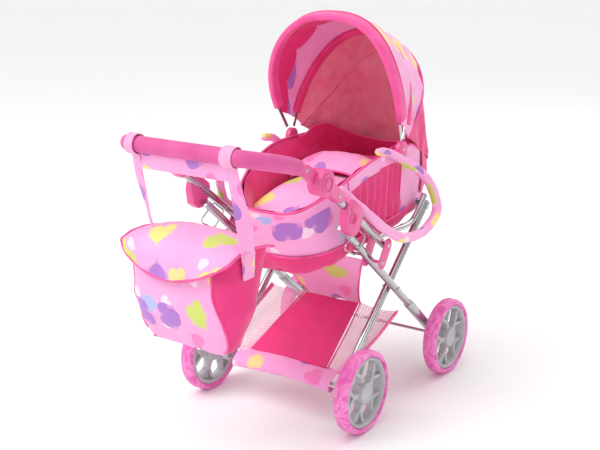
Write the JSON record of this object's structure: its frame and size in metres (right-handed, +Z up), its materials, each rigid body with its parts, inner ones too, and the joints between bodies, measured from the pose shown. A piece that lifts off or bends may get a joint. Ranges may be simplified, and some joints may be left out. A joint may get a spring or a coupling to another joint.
{
  "type": "doll stroller",
  "caption": "Doll stroller with scissor-leg frame, folding handle, lift-off carrycot with folding hood, basket and hanging bag.",
  "frame": {"origin": "on the ground under the middle of the whole stroller's bounding box", "axes": "+Z up, +Y towards the hood and front wheels, +X to the right seen from the handle"},
  "size_m": [0.3884, 0.6942, 0.7305],
  "materials": {
    "steel": "bright steel tube",
    "pink_plastic": "satin moulded",
    "grey_plastic": "satin moulded",
    "grip_foam": "matte foam",
    "tyre": "marbled foam",
    "print_cloth": "printed satin polyester",
    "pink_cloth": "plain satin polyester",
    "mesh_cloth": "open net"
  },
  "bodies": {
    "rear_legs": {"rear_leg_right": "steel", "rear_leg_left": "steel", "rear_foot_right": "grey_plastic", "rear_foot_left": "grey_plastic", "rear_axle": "steel", "cross_rivet_right": "steel", "cross_rivet_left": "steel", "basket_board": "pink_cloth", "basket_panel": "print_cloth", "basket_side_right": "mesh_cloth", "basket_side_left": "mesh_cloth"},
    "front_legs": {"front_leg_right": "steel", "front_leg_left": "steel", "front_foot_right": "grey_plastic", "front_foot_left": "grey_plastic", "front_axle": "steel"},
    "fold_links": {"fold_link_outer_right": "pink_plastic", "fold_link_outer_left": "pink_plastic", "fold_link_inner_right": "pink_plastic", "fold_link_inner_left": "pink_plastic"},
    "seat_frame": {"seat_tube_right": "steel", "seat_tube_left": "steel", "cradle_rod_front": "steel", "cradle_rod_rear": "steel"},
    "handle": {"handle_tube_right": "steel", "handle_tube_left": "steel", "hub_lower_right": "pink_plastic", "hub_lower_left": "pink_plastic"},
    "grip": {"hub_upper_right": "pink_plastic", "hub_upper_left": "pink_plastic", "grip_core": "steel", "grip_foam": "grip_foam"},
    "bag": {"bag_body": "print_cloth", "bag_strap": "print_cloth"},
    "bag_lid": {"bag_flap": "print_cloth"},
    "cot": {"cot_shell": "print_cloth", "quilt": "print_cloth", "pillow": "print_cloth", "hood_hinge_right": "pink_plastic", "hood_hinge_left": "pink_plastic"},
    "hood_mid": {"hood_mid_bow": "steel", "canopy_rear": "print_cloth"},
    "hood_front": {"hood_front_bow": "steel", "canopy_front": "pink_cloth"},
    "lock_right": {"fold_lock_right": "pink_plastic"},
    "button_right": {"lock_button_right": "pink_plastic"},
    "catch_right": {"lock_catch_right": "steel"},
    "carry_right": {"carry_handle_right": "print_cloth"},
    "wheel_front_right": {"tyre_front_right": "tyre", "rim_front_right": "grey_plastic"},
    "wheel_rear_right": {"tyre_rear_right": "tyre", "rim_rear_right": "grey_plastic"},
    "lock_left": {"fold_lock_left": "pink_plastic"},
    "button_left": {"lock_button_left": "pink_plastic"},
    "catch_left": {"lock_catch_left": "steel"},
    "carry_left": {"carry_handle_left": "print_cloth"},
    "wheel_front_left": {"tyre_front_left": "tyre", "rim_front_left": "grey_plastic"},
    "wheel_rear_left": {"tyre_rear_left": "tyre", "rim_rear_left": "grey_plastic"}
  },
  "joints": [
    {"name": "handle_fold", "type": "hinge", "parent": "seat_frame", "child": "handle", "pos_m": [0, 0.017, 0.332], "axis": [-1, 0, 0], "range_deg": [0, 150], "deforming": ["bag_body", "bag_flap", "bag_strap", "carry_handle_right", "carry_handle_left", "canopy_front", "canopy_rear", "hood_front_bow", "basket_board", "basket_panel", "basket_side_right", "basket_side_left"]},
    {"name": "leg_scissor", "type": "hinge", "parent": "rear_legs", "child": "front_legs", "pos_m": [0, 0.09125, 0.22381], "axis": [-1, 0, 0], "range_deg": [0, 20]},
    {"name": "seat_pivot", "type": "hinge", "parent": "rear_legs", "child": "seat_frame", "pos_m": [0, 0.232, 0.352], "axis": [-1, 0, 0], "range_deg": [0, 7.85]},
    {"name": "link_pivot", "type": "hinge", "parent": "front_legs", "child": "fold_links", "pos_m": [0, -0.002, 0.304], "axis": [1, 0, 0], "range_deg": [0, 80.1]},
    {"name": "handle_angle", "type": "hinge", "parent": "handle", "child": "grip", "pos_m": [0, -0.188, 0.487], "axis": [-1, 0, 0], "range_deg": [-35, 50]},
    {"name": "bag_swing", "type": "hinge", "parent": "grip", "child": "bag", "pos_m": [0, -0.328, 0.545], "axis": [-1, 0, 0], "range_deg": [-150.1, 0.1]},
    {"name": "bag_flap_lift", "type": "hinge", "parent": "bag", "child": "bag_lid", "pos_m": [-0.019, -0.226, 0.387], "axis": [-1, 0, 0], "range_deg": [0, 100], "deforming": ["bag_strap"]},
    {"name": "cot_lift", "type": "slide", "parent": "seat_frame", "child": "cot", "axis": [0, 0, 1], "range_m": [0, 0.3]},
    {"name": "hood_fold", "type": "hinge", "parent": "cot", "child": "hood_mid", "pos_m": [0, 0.146, 0.482], "axis": [-1, 0, 0], "range_deg": [0, 40], "deforming": ["canopy_front", "canopy_rear"]},
    {"name": "hood_front_fold", "type": "hinge", "parent": "hood_mid", "child": "hood_front", "pos_m": [0, 0.146, 0.482], "axis": [-1, 0, 0], "range_deg": [0, 24.1]},
    {"name": "lock_slide_right", "type": "slide", "parent": "handle", "child": "lock_right", "axis": [0, -0.7977, 0.6031], "range_m": [0, 0.012]},
    {"name": "lock_button_press_right", "type": "slide", "parent": "lock_right", "child": "button_right", "axis": [-1, 0, 0], "range_m": [0, 0.003], "stiffness_N_per_m": 300},
    {"name": "catch_swing_right", "type": "hinge", "parent": "handle", "child": "catch_right", "pos_m": [0.1595, -0.06781, 0.38233], "axis": [-1, 0, 0], "range_deg": [0, 60]},
    {"name": "carry_swing_right", "type": "hinge", "parent": "cot", "child": "carry_right", "pos_m": [0.1315, -0.081, 0.452], "axis": [0, -0.9588, -0.2841], "range_deg": [0, 150]},
    {"name": "wheel_front_right_spin", "type": "hinge", "parent": "front_legs", "child": "wheel_front_right", "pos_m": [0.1757, 0.2614, 0.0775], "axis": [1, 0, 0], "continuous": true},
    {"name": "wheel_rear_right_spin", "type": "hinge", "parent": "rear_legs", "child": "wheel_rear_right", "pos_m": [0.1757, -0.0694, 0.0775], "axis": [1, 0, 0], "continuous": true},
    {"name": "lock_slide_left", "type": "slide", "parent": "handle", "child": "lock_left", "axis": [0, -0.7977, 0.6031], "range_m": [0, 0.012]},
    {"name": "lock_button_press_left", "type": "slide", "parent": "lock_left", "child": "button_left", "axis": [1, 0, 0], "range_m": [0, 0.003], "stiffness_N_per_m": 300},
    {"name": "catch_swing_left", "type": "hinge", "parent": "handle", "child": "catch_left", "pos_m": [-0.1595, -0.06781, 0.38233], "axis": [-1, 0, 0], "range_deg": [0, 60]},
    {"name": "carry_swing_left", "type": "hinge", "parent": "cot", "child": "carry_left", "pos_m": [-0.1315, -0.081, 0.452], "axis": [0, 0.9588, 0.2841], "range_deg": [0, 150]},
    {"name": "wheel_front_left_spin", "type": "hinge", "parent": "front_legs", "child": "wheel_front_left", "pos_m": [-0.1757, 0.2614, 0.0775], "axis": [1, 0, 0], "continuous": true},
    {"name": "wheel_rear_left_spin", "type": "hinge", "parent": "rear_legs", "child": "wheel_rear_left", "pos_m": [-0.1757, -0.0694, 0.0775], "axis": [1, 0, 0], "continuous": true}
  ],
  "couplings": [
    {"joint": "leg_scissor", "follows": "handle_fold", "ratio": 0.13328},
    {"joint": "seat_pivot", "follows": "handle_fold", "ratio": 0.052247},
    {"joint": "link_pivot", "follows": "handle_fold", "ratio": 0.53333},
    {"joint": "bag_swing", "follows": "handle_fold", "ratio": -1},
    {"joint": "hood_front_fold", "follows": "hood_fold", "ratio": 0.6}
  ]
}
